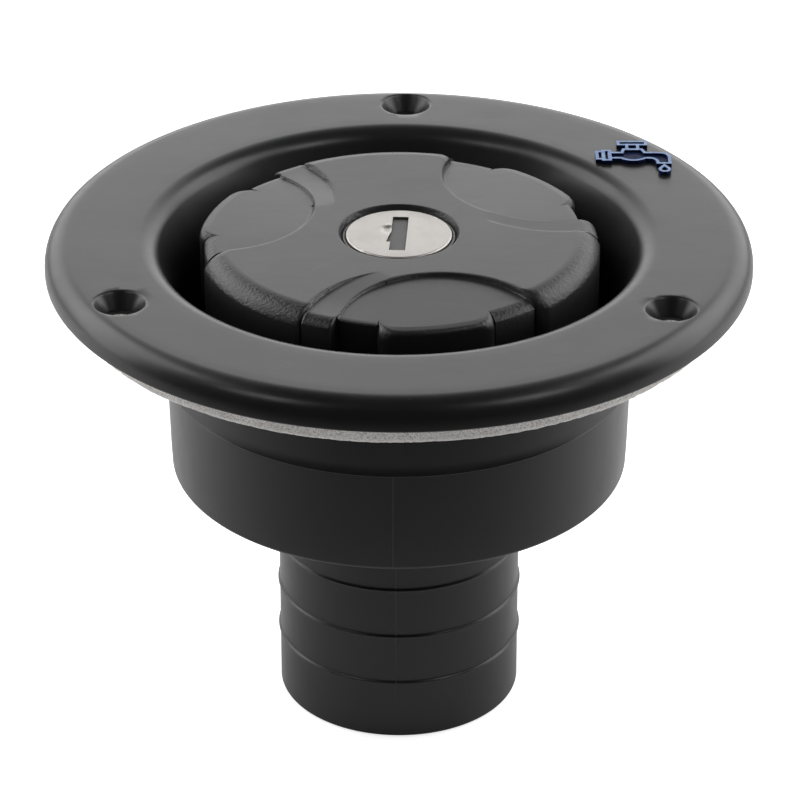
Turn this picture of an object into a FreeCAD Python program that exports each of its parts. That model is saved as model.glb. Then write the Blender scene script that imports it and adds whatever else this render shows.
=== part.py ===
import FreeCAD, Part
import math
import os

from FreeCAD import Vector

# Lockable water deck fill: a flanged housing with a hose tail, and a bayonet cap with a key lock.
# Millimetres. +Z is up, the origin is on the axis at deck level, under the foam gasket, and the
# front of the fill faces -Y. At rest the cap is in place, unlocked, with its lugs under their slots.

# ---- driving dimensions ------------------------------------------------------------------------
HOSE_TAIL_R = 20.0
DECK_HOLE_R = 38.1
FLANGE_R = 57.0
FLANGE_TOP = 8.4
FLANGE_T = 3.2
SCREW_PCR = 49.6
SCREW_HOLE_R = 2.2
SCREW_ANGLES = [88.67, 208.67, 328.67]
BODY_BOTTOM = -32.2
TAIL_BOTTOM = -75.0
CAP_R = 32.35
CAP_TOP = 8.9
LOCK_FACE_R = 8.6
KEY_SLOT = (2.55, 11.9)
CAP_TRAVEL_DEG = 60.0
LOCK_TRAVEL_DEG = 90.0
BOLT_THROW = 3.0

# ---- housing -----------------------------------------------------------------------------------
LIP_BOTTOM = 3.6
LIP_INNER_R = 54.2
PLATE_UNDER = FLANGE_TOP - FLANGE_T
FLANGE_ROLL = 3.7
EDGE_ROUND = 0.4
BOWL_R = 35.3
BOWL_FLOOR = -29.4
BOWL_FILLET = 2.0
# the bowl's lip: a tight roll, then a steep slope that rounds into the wall; corners before rounding
LIP_CORNER_R = 39.52
LIP_ROLL = 3.6
SLOPE_FOOT = -1.54
SLOPE_ROUND = 8.0
# the fillet under the flange stays above deck level, inside the gasket
BODY_ROOT = 3.2
BODY_CORNER = 0.8
PARTING_STEP = 0.15
BODY_PARTING = -14.8
BODY_LOW_R = 37.4
TAIL_BORE_R = 17.4
TAIL_ROOT = 1.0
TAIL_END_ROUND = 1.3
THROAT_ROUND = 0.8
BEADS = [-46.5, -55.4, -64.3]
BEAD_HEIGHT = 0.3
BEAD_HALF_WIDTH = 0.35
BEAD_ROUND = 0.15
SINK_R = 4.03
SINK_NECK_R = 2.45
SINK_DEPTH = 2.6
REGISTER_WIDTH = 1.4
REGISTER_HEIGHT = 2.0

# ---- gasket under the flange -------------------------------------------------------------------
GASKET_OUTER_R = 53.8
GASKET_INNER_R = 41.5
GASKET_HOLE_R = 2.7

# ---- bayonet neck and seal ---------------------------------------------------------------------
NECK_R = 27.4
NECK_TOP = -4.0
LEDGE_UNDER = -8.0
LEDGE_R = 22.2
CAVITY_R = 24.8
RIB_BOTTOM = -18.5
LUG_HALF_DEG = 13.0
LUG_PLAY_DEG = 1.5
STOP_PLAY_DEG = 1.0
SEAL_INNER_R = 22.8
SEAL_OUTER_R = 27.0
SEAL_ROUND = 0.3

# ---- cap ---------------------------------------------------------------------------------------
CAP_UNDER = 6.1
SKIRT_BOTTOM = -5.0
SKIRT_INNER_R = 29.9
LOBE_INNER_R = 28.2
RIM_ROUND = 3.2
CORNER_ROUND = 1.2
SKIRT_ROUND = 0.6
LOCK_HOLE_R = 9.1
LOCK_CHAMFER_R = 9.9
CAP_TURNS = [0.0, 120.0, 240.0]
LOBE_ARC = (31.6, 282.1, 16.25)
# the lobes slope down a little towards the rim: depth on the axis, and fall per mm of radius
LOBE_AXIS_DEPTH = 0.08
LOBE_FALL = 0.035
RAMP_ARC = (32.8, 277.9, 19.8)
RAMP_DEPTH = 0.7
RAMP_FADE = (14.5, 258.1)
RAMP_RIM = (CAP_R, 241.5)
# each notch: inner radius, first angle, last angle
NOTCHES = [(29.8, 251.0, 263.7), (31.3, 298.7, 313.0)]
# thicker skirt behind the notches, first and last angle
BACKING_ARC = (239.0, 318.0)
POST_PCR = 17.0
POST_R = 3.2
POST_PILOT_R = 1.15
CAP_SCREW_R = 1.1
CAP_SCREW_LENGTH = 6.5
CAP_SCREW_HEAD = (2.6, 1.8)
CAP_SCREW_CLEARANCE_R = 1.5
CAP_SCREW_ANGLES = [63.4, 183.4, 303.4]

# ---- bayonet plug under the cap ----------------------------------------------------------------
PLUG_TOP = 0.8
PLUG_UNDER = -1.6
PLUG_R = 27.6
PLUG_SKIRT_R = 21.9
PLUG_BORE_R = 20.0
PLUG_BOTTOM = -18.5
LUG_TOP = -8.3
LUG_BOTTOM = -11.3
LUG_R = 24.4
LUG_ANGLES = [0.0, 120.0, 240.0]
COVER_TOP = -16.8
COVER_PCR = 16.5
COVER_POST_R = 2.8
COVER_PILOT_R = 1.0
COVER_PILOT_DEPTH = 8.0
COVER_SCREW_R = 0.95
COVER_SCREW_LENGTH = 8.0
COVER_SCREW_HEAD = (2.2, 1.5)
COVER_SCREW_CLEARANCE_R = 1.2
BOSS_WALL = 3.0
SEAL_GROOVE_R = 10.6
SEAL_GROOVE_DEPTH = 1.0
O_RING = (9.9, 0.5)
WINDOW_PLAY = 0.2
WINDOW_LENGTH = 10.0
RAIL_WIDTH = 2.0
RAIL_PLAY = 0.15
RAIL_LENGTH = 13.0
RAIL_MIDDLE = 12.0

# ---- lock --------------------------------------------------------------------------------------
KEY_TILT = -3.0
SLEEVE_R = 9.05
SLEEVE_TOP = 8.1
SLEEVE_BOTTOM = -10.8
SLEEVE_FLANGE_R = 10.8
SLEEVE_FLANGE_UNDER = 5.0
BARREL_R = 7.2
BARREL_PLAY = 0.05
HEAD_R = 8.3
HEAD_UNDER = 6.9
HEAD_TOP = 8.3
CUP_R = 8.75
FACE_TOP = 8.55
FACE_SKIRT_BOTTOM = 7.2
FACE_ROUND = 0.35
# corners of the small tapered notch beside the key slot, from its top to its wide foot
FACE_NOTCH = [(-1.2, 0.9), (-1.9, -3.0), (-1.2, -3.0)]
NUT_ACROSS_FLATS = 22.0
NUT_T = 3.0
GROOVE_R = 8.3
GROOVE_WIDTH = 5.4
KEYWAY = (2.3, 9.0)
KEYWAY_FOOT = -8.6
# width, length, middle x and floor of the pocket that the shutter swings in
SHUTTER_POCKET = (4.2, 12.1, -0.7, 4.2)
SPRING_POCKET = (1.6, 4.8)
DRIVE_NECK_R = 2.0
DRIVE_SQUARE = 4.0
DRIVE_BORE = (1.2, 3.5)
WAFER_WIDTH = 5.0
WAFER_T = 1.0
WAFER_PLAY = 0.05
WAFER_END_R = 7.1
WAFER_WINDOW = (2.5, 8.6)
WAFER_TAB = (1.4, 0.9)
WAFER_TOP_MIDDLE = 3.3
WAFER_PITCH = 1.9
WAFER_TRAVELS = [0.9, 0.5, 0.75, 0.6, 0.85, 0.65]
SHUTTER_X = -1.9
SHUTTER_Z = 7.45
SHUTTER_FLAP = (3.1, 11.4, 0.55)
SHUTTER_PIN_R = 0.4
SHUTTER_PIN_LENGTH = 13.0
PIN_HOLE_R = 0.42
KNUCKLE_R = 0.7
KNUCKLE_SPAN = (-4.4, 5.7)
SPRING_SPACE = (1.9, 1.5)
# mean radius, wire radius, pitch and length
SHUTTER_COIL = (0.58, 0.09, 0.3, 1.2)
SHUTTER_COIL_FOOT_Y = -5.75
WAFER_COIL = (0.38, 0.1, 0.5, 2.0)
WAFER_COIL_FOOT_Y = -3.0
DISC_TOP = -11.0
DISC_UNDER = -12.6
DISC_R = 10.8
CAM_START_R = 5.0
CAM_PIN_R = 1.25
CAM_PLAY = 0.1
CAM_WASHER = (1.3, 3.0, 0.3)
CAM_SCREW_HEAD = (2.5, 1.6)
CAM_SCREW_R = 1.15
CAM_SCREW_LENGTH = 3.6
BOLT_ANGLE = -56.6
BOLT_WIDTH = 8.0
BOLT_TOP = -13.0
BOLT_UNDER = -16.6
BOLT_TIP_R = 21.6
BOLT_TAIL_R = 3.4

# ---- tap symbol --------------------------------------------------------------------------------
SYMBOL_AT = (39.0, 28.0)
SYMBOL_LINE = 0.52
SYMBOL_HEIGHT = 0.7
SYMBOL_BASE = 0.3


# ---- shape helpers -----------------------------------------------------------------------------
def polar(radius, degrees, z=0.0):
    angle = math.radians(degrees)
    return Vector(radius * math.cos(angle), radius * math.sin(angle), z)


def turned(shape, degrees):
    copy = shape.copy()
    copy.rotate(Vector(0, 0, 0), Vector(0, 0, 1), degrees)
    return copy


def disc(radius, low, high, at=(0.0, 0.0)):
    return Part.makeCylinder(radius, high - low, Vector(at[0], at[1], low))


def ring(inner, outer, low, high):
    return disc(outer, low, high).cut(disc(inner, low - 1, high + 1))


def sector(inner, outer, first, last, low, high):
    """Part of a ring between two angles."""
    wedge = Part.makeCylinder(outer, high - low, Vector(0, 0, low), Vector(0, 0, 1), last - first)
    return turned(wedge, first).cut(disc(inner, low - 1, high + 1))


def block(x_size, y_size, low, high, at=(0.0, 0.0)):
    """Box centred on a point in plan, between two heights."""
    corner = Vector(at[0] - x_size / 2, at[1] - y_size / 2, low)
    return Part.makeBox(x_size, y_size, high - low, corner)


def outline(corners, place):
    """Closed wire through corners (u, v, rounding radius); place turns (u, v) into a point."""
    points = [Vector(u, v, 0) for u, v, _ in corners]
    stretches = []
    for number, (_, _, radius) in enumerate(corners):
        here = points[number]
        back = (points[number - 1] - here).normalize()
        ahead = (points[(number + 1) % len(points)] - here).normalize()
        if radius == 0:
            stretches.append((here, None, here))
            continue
        half = math.acos(max(-1.0, min(1.0, back.dot(ahead)))) / 2
        reach = radius / math.tan(half)
        inward = (back + ahead).normalize()
        middle = here + inward * (radius / math.sin(half) - radius)
        stretches.append((here + back * reach, middle, here + ahead * reach))
    edges = []
    for number, (start, middle, end) in enumerate(stretches):
        if middle is not None:
            edges.append(Part.Arc(*[place(p.x, p.y) for p in (start, middle, end)]).toShape())
        following = stretches[(number + 1) % len(stretches)][0]
        if (following - end).Length > 1e-6:
            edges.append(Part.makeLine(place(end.x, end.y), place(following.x, following.y)))
    return Part.Wire(edges)


def lathe(corners):
    """Solid of revolution about Z from corners (radius, height, rounding radius)."""
    wire = outline(corners, lambda r, z: Vector(r, 0, z))
    return Part.Face(wire).revolve(Vector(0, 0, 0), Vector(0, 0, 1), 360)


def plate(corners, low, high):
    """Flat piece between two heights from corners (x, y, rounding radius)."""
    wire = outline(corners, lambda x, y: Vector(x, y, low))
    return Part.Face(wire).extrude(Vector(0, 0, high - low))


def fused(shapes):
    whole = shapes[0]
    if len(shapes) > 1:
        whole = whole.fuse(shapes[1:])
    return whole.removeSplitter()


def pan_screw(at, head_under, head_r, head_t, shank_r, shank_length):
    """Pan head screw that points up, with a cross recess in its head."""
    head = lathe([
        (0, head_under, 0),
        (head_r, head_under, 0),
        (head_r, head_under - head_t, head_t * 0.6),
        (0, head_under - head_t, 0),
    ])
    shank = disc(shank_r, head_under, head_under + shank_length)
    screw = fused([head, shank])
    for x_size, y_size in ((head_r * 1.1, 0.6), (0.6, head_r * 1.1)):
        screw = screw.cut(block(x_size, y_size, head_under - head_t - 1, head_under - head_t * 0.35))
    screw.translate(at)
    return screw


def coil(mean_r, wire_r, pitch, height, start, axis):
    """Helical spring from a start point along an axis."""
    helix = Part.makeHelix(pitch, height, mean_r)
    section = Part.Wire(Part.makeCircle(wire_r, Vector(mean_r, 0, 0), Vector(0, 1, 0)))
    spring = Part.Wire(helix).makePipeShell([section], True, True)
    spring.Placement = FreeCAD.Placement(start, FreeCAD.Rotation(Vector(0, 0, 1), axis))
    return spring


# ---- fixed body --------------------------------------------------------------------------------
def deck_housing():
    """Flange, bowl and hose tail in one moulding."""
    beads = []
    for z in BEADS:
        beads += [
            (HOSE_TAIL_R, z + BEAD_HALF_WIDTH, 0),
            (HOSE_TAIL_R + BEAD_HEIGHT, z, BEAD_ROUND),
            (HOSE_TAIL_R, z - BEAD_HALF_WIDTH, 0),
        ]
    register_r = NECK_R + REGISTER_WIDTH
    body = lathe([
        (BOWL_R, SLOPE_FOOT, SLOPE_ROUND),
        (LIP_CORNER_R, FLANGE_TOP, LIP_ROLL),
        (FLANGE_R, FLANGE_TOP, FLANGE_ROLL),
        (FLANGE_R, LIP_BOTTOM, EDGE_ROUND),
        (LIP_INNER_R, LIP_BOTTOM, EDGE_ROUND),
        (LIP_INNER_R, PLATE_UNDER, 0),
        (DECK_HOLE_R, PLATE_UNDER, BODY_ROOT),
        (DECK_HOLE_R, BODY_PARTING, 0),
        (DECK_HOLE_R - PARTING_STEP, BODY_PARTING, 0),
        (BODY_LOW_R, BODY_BOTTOM, BODY_CORNER),
        (HOSE_TAIL_R, BODY_BOTTOM, TAIL_ROOT),
        *beads,
        (HOSE_TAIL_R, TAIL_BOTTOM, TAIL_END_ROUND),
        (TAIL_BORE_R, TAIL_BOTTOM, EDGE_ROUND),
        (TAIL_BORE_R, BOWL_FLOOR, THROAT_ROUND),
        (NECK_R, BOWL_FLOOR, 0),
        (NECK_R, BOWL_FLOOR + REGISTER_HEIGHT, 0),
        (register_r, BOWL_FLOOR + REGISTER_HEIGHT, EDGE_ROUND),
        (register_r, BOWL_FLOOR, 0),
        (BOWL_R, BOWL_FLOOR, BOWL_FILLET),
    ])
    for angle in SCREW_ANGLES:
        centre = polar(SCREW_PCR, angle)
        body = body.cut(disc(SCREW_HOLE_R, LIP_BOTTOM, FLANGE_TOP + 1, (centre.x, centre.y)))
        floor = Vector(centre.x, centre.y, FLANGE_TOP - SINK_DEPTH)
        body = body.cut(Part.makeCone(SINK_NECK_R, SINK_R, SINK_DEPTH, floor))
    return body


def foam_gasket():
    gasket = ring(GASKET_INNER_R, GASKET_OUTER_R, 0, PLATE_UNDER)
    for angle in SCREW_ANGLES:
        centre = polar(SCREW_PCR, angle)
        gasket = gasket.cut(disc(GASKET_HOLE_R, -1, PLATE_UNDER + 1, (centre.x, centre.y)))
    return gasket


def bayonet_neck_ring():
    """Neck that the cap locks into: entry slots, a ledge over the lugs, and ribs that stop them."""
    neck = ring(CAVITY_R, NECK_R, BOWL_FLOOR, NECK_TOP)
    pieces = [neck]
    slot_edge = LUG_HALF_DEG + LUG_PLAY_DEG
    rib_start = LUG_HALF_DEG + CAP_TRAVEL_DEG + STOP_PLAY_DEG
    for angle in LUG_ANGLES:
        rib_end = 120.0 - slot_edge
        ledge = sector(LEDGE_R, CAVITY_R + 1, angle - rib_end, angle - slot_edge, LEDGE_UNDER, NECK_TOP)
        rib = sector(LEDGE_R, CAVITY_R + 1, angle - rib_end, angle - rib_start, RIB_BOTTOM, NECK_TOP)
        pieces += [ledge, rib]
    return fused(pieces)


def cap_seal():
    """Flat rubber ring that seats on the neck."""
    return lathe([
        (SEAL_INNER_R, NECK_TOP, SEAL_ROUND),
        (SEAL_OUTER_R, NECK_TOP, SEAL_ROUND),
        (SEAL_OUTER_R, PLUG_UNDER, SEAL_ROUND),
        (SEAL_INNER_R, PLUG_UNDER, SEAL_ROUND),
    ])


def moved_out(points, distance):
    """Closed outline moved outward by a distance, with sharp corners."""
    count = len(points)
    pairs = [(points[i], points[(i + 1) % count]) for i in range(count)]
    area = sum(x0 * y1 - x1 * y0 for (x0, y0), (x1, y1) in pairs)
    side = math.copysign(1, area) * distance
    normals = [Vector(y1 - y0, x0 - x1, 0).normalize() for (x0, y0), (x1, y1) in pairs]
    corners = []
    for number, (x, y) in enumerate(points):
        before, after = normals[number - 1], normals[number]
        step = (before + after) * (side / (1 + before.dot(after)))
        corners.append((x + step.x, y + step.y, 0))
    return corners


def flat_face(corners):
    return Part.Face(outline(corners, lambda x, y: Vector(x, y, 0)))


def symbol_solid(loops):
    """Raised lines round closed outlines, on a thin base that fills the outlines."""
    fills = [flat_face(moved_out(loop, SYMBOL_LINE / 2)) for loop in loops]
    holes = [flat_face(moved_out(loop, -SYMBOL_LINE / 2)) for loop in loops]
    lines = [fill.cut(hole) for fill, hole in zip(fills, holes)]
    base = fused(fills).extrude(Vector(0, 0, SYMBOL_BASE))
    raised = fused(lines).extrude(Vector(0, 0, SYMBOL_HEIGHT - SYMBOL_BASE))
    raised.translate(Vector(0, 0, SYMBOL_BASE))
    return fused([base, raised])


def arc_points(centre, radius, first, last, steps):
    """Points along an arc, for a raised line that bends."""
    points = []
    for step in range(steps + 1):
        angle = math.radians(first + (last - first) * step / steps)
        points.append((centre[0] + radius * math.cos(angle), centre[1] + radius * math.sin(angle)))
    return points


def water_symbol():
    """Plain tap with a drop: raised lines on a thin base."""
    top, low = 0.9, -1.1
    belly = arc_points((0.0, 0.7), 2.7, 222, 318, 6)
    spout_outer = arc_points((4.4, -0.7), 1.6, 0, 90, 5)
    spout_inner = arc_points((2.6, -2.5), 1.4, 90, 0, 4)
    body = [(-3.95, low), *belly, *spout_inner, (4.0, -3.1), (6.0, -3.1), *spout_outer]
    body += [(2.0, top), (1.5, 2.2), (-1.5, 2.2), (-1.8, top), (-3.95, top)]
    flanges = [[(-6.0, -1.5), (-4.9, -1.5), (-4.9, 1.3), (-6.0, 1.3)]]
    flanges.append([(-5.0, -1.9), (-3.85, -1.9), (-3.85, 1.7), (-5.0, 1.7)])
    stem = [(-0.9, 2.15), (-0.9, 4.05), (0.9, 4.05), (0.9, 2.15)]
    handle = [(-2.3, 4.0), (2.3, 4.0), (2.3, 5.2), (-2.3, 5.2)]
    loops = [body, *flanges, stem, handle]
    tap = symbol_solid(loops)
    drop = symbol_solid([[(5.0, -3.9), *arc_points((5.0, -5.4), 0.8, 40, -220, 9)]])
    symbol = Part.makeCompound([tap, drop])
    symbol.translate(Vector(SYMBOL_AT[0], SYMBOL_AT[1], FLANGE_TOP))
    return symbol


# ---- cap ---------------------------------------------------------------------------------------
def ramp_wedge():
    """Space above the sloping crescent beside one lobe."""
    fade = polar(*RAMP_FADE)
    rim = polar(*RAMP_RIM)
    run = rim - fade
    slope = RAMP_DEPTH / run.Length
    normal = run.normalize() * slope + Vector(0, 0, 1)
    space = Part.makeBox(120, 120, 12, Vector(-60, -60, 0))
    turn = FreeCAD.Rotation(Vector(0, 0, 1), normal)
    space.Placement = FreeCAD.Placement(Vector(fade.x, fade.y, CAP_TOP), turn)
    centre = polar(RAMP_ARC[0], RAMP_ARC[1])
    return disc(RAMP_ARC[2], CAP_UNDER, CAP_TOP + 5, (centre.x, centre.y)).common(space)


def lobe_space():
    """Space above the shallow cone that the lobes follow."""
    reach = CAP_R + 3
    low = CAP_TOP - LOBE_AXIS_DEPTH
    corners = [(0, low), (reach, low - LOBE_FALL * reach), (reach, CAP_TOP + 2), (0, CAP_TOP + 2)]
    return lathe([(r, z, 0) for r, z in corners])


def cap_shell():
    """Outer cap that the hand turns: a domed rim with three grip lobes."""
    shell = lathe([
        (0, CAP_TOP, 0),
        (CAP_R, CAP_TOP, RIM_ROUND),
        (CAP_R, SKIRT_BOTTOM, SKIRT_ROUND),
        (SKIRT_INNER_R, SKIRT_BOTTOM, EDGE_ROUND),
        (SKIRT_INNER_R, CAP_UNDER, CORNER_ROUND),
        (0, CAP_UNDER, 0),
    ])
    lobe_centre = polar(LOBE_ARC[0], LOBE_ARC[1])
    lobe = disc(LOBE_ARC[2], CAP_UNDER, CAP_TOP + 2, (lobe_centre.x, lobe_centre.y)).common(lobe_space())
    ramp = ramp_wedge()
    backing = sector(LOBE_INNER_R, SKIRT_INNER_R + 0.5, *BACKING_ARC, SKIRT_BOTTOM, CAP_UNDER + 0.5)
    shell = fused([shell] + [turned(backing, turn) for turn in CAP_TURNS])
    for turn in CAP_TURNS:
        for inner, first, last in NOTCHES:
            notch = sector(inner, CAP_R + 2, first, last, SKIRT_BOTTOM - 1, CAP_TOP + 1)
            shell = shell.cut(turned(notch, turn))
        shell = shell.cut(turned(lobe, turn)).cut(turned(ramp, turn))
    shell = shell.cut(disc(LOCK_HOLE_R, CAP_UNDER - 1, CAP_TOP + 1))
    chamfer_height = LOCK_CHAMFER_R - LOCK_HOLE_R
    chamfer_foot = Vector(0, 0, CAP_TOP - chamfer_height)
    shell = shell.cut(Part.makeCone(LOCK_HOLE_R, LOCK_CHAMFER_R, chamfer_height, chamfer_foot))
    posts = []
    for angle in CAP_SCREW_ANGLES:
        centre = polar(POST_PCR, angle)
        post = disc(POST_R, PLUG_TOP, CAP_UNDER + 0.5, (centre.x, centre.y))
        posts.append(post.cut(disc(POST_PILOT_R, PLUG_TOP - 1, CAP_UNDER - 0.6, (centre.x, centre.y))))
    return fused([shell, *posts])


def cap_plug():
    """Bayonet plug under the cap, with lugs, a bolt window and posts for the bolt guide cover."""
    body = fused([
        disc(PLUG_R, PLUG_UNDER, PLUG_TOP),
        disc(SLEEVE_R + BOSS_WALL, PLUG_TOP - 0.5, SLEEVE_FLANGE_UNDER),
        ring(PLUG_BORE_R, PLUG_SKIRT_R, PLUG_BOTTOM, PLUG_UNDER + 0.5),
    ])
    lugs = []
    for angle in LUG_ANGLES:
        first, last = angle - LUG_HALF_DEG, angle + LUG_HALF_DEG
        lugs.append(sector(PLUG_SKIRT_R - 0.5, LUG_R, first, last, LUG_BOTTOM, LUG_TOP))
    posts = []
    for angle in cover_screw_angles():
        centre = polar(COVER_PCR, angle)
        post = disc(COVER_POST_R, COVER_TOP, PLUG_UNDER + 0.5, (centre.x, centre.y))
        pilot = disc(COVER_PILOT_R, COVER_TOP - 1, COVER_TOP + COVER_PILOT_DEPTH, (centre.x, centre.y))
        posts.append(post.cut(pilot))
    body = fused([body, *lugs, *posts])
    body = body.cut(disc(LOCK_HOLE_R, PLUG_UNDER - 1, SLEEVE_FLANGE_UNDER + 1))
    groove_floor = SLEEVE_FLANGE_UNDER - SEAL_GROOVE_DEPTH
    body = body.cut(ring(SLEEVE_R, SEAL_GROOVE_R, groove_floor, SLEEVE_FLANGE_UNDER + 1))
    window = block(WINDOW_LENGTH, BOLT_WIDTH + 2 * WINDOW_PLAY, BOLT_UNDER - WINDOW_PLAY,
                   BOLT_TOP + WINDOW_PLAY, (PLUG_SKIRT_R, 0))
    body = body.cut(turned(window, BOLT_ANGLE))
    for angle in CAP_SCREW_ANGLES:
        centre = polar(POST_PCR, angle)
        hole = disc(CAP_SCREW_CLEARANCE_R, PLUG_UNDER - 1, PLUG_TOP + 1, (centre.x, centre.y))
        body = body.cut(hole)
    return body


def cap_screws():
    places = [polar(POST_PCR, angle) for angle in CAP_SCREW_ANGLES]
    size = (*CAP_SCREW_HEAD, CAP_SCREW_R, CAP_SCREW_LENGTH)
    return Part.makeCompound([pan_screw(place, PLUG_UNDER, *size) for place in places])


def cover_screw_angles():
    return [BOLT_ANGLE + turn for turn in (60.0, 180.0, 300.0)]


def cover_screws():
    places = [polar(COVER_PCR, angle) for angle in cover_screw_angles()]
    size = (*COVER_SCREW_HEAD, COVER_SCREW_R, COVER_SCREW_LENGTH)
    return Part.makeCompound([pan_screw(place, PLUG_BOTTOM, *size) for place in places])


def bolt_guide_cover():
    """Bottom of the plug, with two rails that guide the locking bolt."""
    cover = disc(PLUG_BORE_R - 0.2, PLUG_BOTTOM, COVER_TOP)
    aside = BOLT_WIDTH / 2 + RAIL_PLAY + RAIL_WIDTH / 2
    for y in (-aside, aside):
        rail = block(RAIL_LENGTH, RAIL_WIDTH, COVER_TOP - 0.5, BOLT_TOP - 0.4, (RAIL_MIDDLE, y))
        cover = cover.fuse(turned(rail, BOLT_ANGLE))
    cover = cover.removeSplitter()
    for angle in cover_screw_angles():
        centre = polar(COVER_PCR, angle)
        hole = disc(COVER_SCREW_CLEARANCE_R, PLUG_BOTTOM - 1, COVER_TOP + 1, (centre.x, centre.y))
        cover = cover.cut(hole)
    return cover


# ---- lock --------------------------------------------------------------------------------------
def lock_sleeve():
    """Fixed sleeve of the lock: a cup for the plug's head and four grooves for the wafers."""
    bore = BARREL_R + BARREL_PLAY
    sleeve = lathe([
        (bore, SLEEVE_BOTTOM, 0),
        (SLEEVE_R, SLEEVE_BOTTOM, EDGE_ROUND),
        (SLEEVE_R, SLEEVE_FLANGE_UNDER, 0),
        (SLEEVE_FLANGE_R, SLEEVE_FLANGE_UNDER, 0),
        (SLEEVE_FLANGE_R, CAP_UNDER, 0),
        (SLEEVE_R, CAP_UNDER, 0),
        (SLEEVE_R, SLEEVE_TOP, 0),
        (CUP_R, SLEEVE_TOP, 0),
        (CUP_R, HEAD_UNDER - BARREL_PLAY, 0),
        (bore, HEAD_UNDER - BARREL_PLAY, 0),
    ])
    low = wafer_middle(len(WAFER_TRAVELS) - 1) - WAFER_T
    high = wafer_middle(0) + WAFER_T
    reach = disc(GROOVE_R, low, high)
    for x_size, y_size in ((GROOVE_WIDTH, 2 * SLEEVE_R), (2 * SLEEVE_R, GROOVE_WIDTH)):
        groove = block(x_size, y_size, low, high).common(reach)
        sleeve = sleeve.cut(turned(groove, KEY_TILT))
    return sleeve


def lock_o_ring():
    mean_r, wire_r = O_RING
    return Part.makeTorus(mean_r, wire_r, Vector(0, 0, SLEEVE_FLANGE_UNDER - wire_r))


def lock_nut():
    """Hexagon nut that clamps the sleeve to the plug."""
    corner_r = NUT_ACROSS_FLATS / 2 / math.cos(math.radians(30))
    corners = [polar(corner_r, 60 * number) for number in range(6)]
    low = PLUG_UNDER - NUT_T
    nut = plate([(corner.x, corner.y, 0) for corner in corners], low, PLUG_UNDER)
    return nut.cut(disc(SLEEVE_R, low - 1, PLUG_UNDER + 1))


def wafer_middle(number):
    return WAFER_TOP_MIDDLE - WAFER_PITCH * number


def lock_plug():
    """Plug that the key turns: keyway, wafer slots, shutter pocket and a square drive end."""
    plug = lathe([
        (0, DISC_UNDER, 0),
        (DRIVE_NECK_R, DISC_UNDER, 0),
        (DRIVE_NECK_R, DISC_TOP, 0),
        (BARREL_R, DISC_TOP, 0),
        (BARREL_R, HEAD_UNDER, 0),
        (HEAD_R, HEAD_UNDER, 0),
        (HEAD_R, HEAD_TOP, 0),
        (0, HEAD_TOP, 0),
    ])
    plug = fused([plug, block(DRIVE_SQUARE, DRIVE_SQUARE, DISC_UNDER, DISC_TOP + 0.5)])
    plug = plug.cut(block(KEYWAY[0], KEYWAY[1], KEYWAY_FOOT, HEAD_TOP + 1))
    width, length, middle_x, floor = SHUTTER_POCKET
    plug = plug.cut(block(width, length, floor, HEAD_TOP + 1, (middle_x, 0)))
    for number in range(len(WAFER_TRAVELS)):
        low = wafer_middle(number) - WAFER_T / 2 - WAFER_PLAY
        high = wafer_middle(number) + WAFER_T / 2 + WAFER_PLAY
        plug = plug.cut(block(WAFER_WIDTH + 2 * WAFER_PLAY, 2 * HEAD_R, low, high))
        plug = plug.cut(block(*SPRING_POCKET, low, high, (WAFER_WIDTH / 2 + 0.75, -0.7)))
    for side in (-1, 1):
        start = Vector(SHUTTER_X, side * 6.0, SHUTTER_Z)
        plug = plug.cut(Part.makeCylinder(PIN_HOLE_R, 0.6, start, Vector(0, side, 0)))
    bore_r, bore_depth = DRIVE_BORE
    plug = plug.cut(disc(bore_r, DISC_UNDER - 1, DISC_UNDER + bore_depth))
    return turned(plug, KEY_TILT)


def lock_face_cover():
    """Thin stainless cap over the plug's head, with the key slot and a small notch beside it."""
    cover = lathe([
        (0, FACE_TOP, 0),
        (LOCK_FACE_R, FACE_TOP, FACE_ROUND),
        (LOCK_FACE_R, FACE_SKIRT_BOTTOM, 0),
        (HEAD_R, FACE_SKIRT_BOTTOM, 0),
        (HEAD_R, HEAD_TOP, 0),
        (0, HEAD_TOP, 0),
    ])
    cover = cover.cut(block(KEY_SLOT[0], KEY_SLOT[1], HEAD_TOP - 1, FACE_TOP + 1))
    notch = plate([(x, y, 0) for x, y in FACE_NOTCH], HEAD_TOP - 1, FACE_TOP + 1)
    return turned(cover.cut(notch), KEY_TILT)


def key_shutter():
    """Flap that closes the key slot from below and swings down as the key goes in."""
    along = Vector(0, 1, 0)
    width, length, thickness = SHUTTER_FLAP
    flap = Part.makeBox(width, length, thickness, Vector(SHUTTER_X, -length / 2, SHUTTER_Z + 0.15))
    first, last = KNUCKLE_SPAN
    start = Vector(SHUTTER_X, first, SHUTTER_Z)
    flap = fused([flap, Part.makeCylinder(KNUCKLE_R, last - first, start, along)])
    pin_start = Vector(SHUTTER_X, -length, SHUTTER_Z)
    flap = flap.cut(Part.makeCylinder(PIN_HOLE_R, 2 * length, pin_start, along))
    middle = (SHUTTER_X - 0.25, first - SPRING_SPACE[1] / 2)
    spring_space = block(*SPRING_SPACE, SHUTTER_Z - 1.5, SHUTTER_Z + 1.5, middle)
    return turned(flap.cut(spring_space), KEY_TILT)


def shutter_pin():
    start = Vector(SHUTTER_X, -SHUTTER_PIN_LENGTH / 2, SHUTTER_Z)
    pin = Part.makeCylinder(SHUTTER_PIN_R, SHUTTER_PIN_LENGTH, start, Vector(0, 1, 0))
    return turned(pin, KEY_TILT)


def shutter_spring():
    foot = Vector(SHUTTER_X, SHUTTER_COIL_FOOT_Y, SHUTTER_Z)
    return turned(coil(*SHUTTER_COIL, foot, Vector(0, 1, 0)), KEY_TILT)


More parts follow.
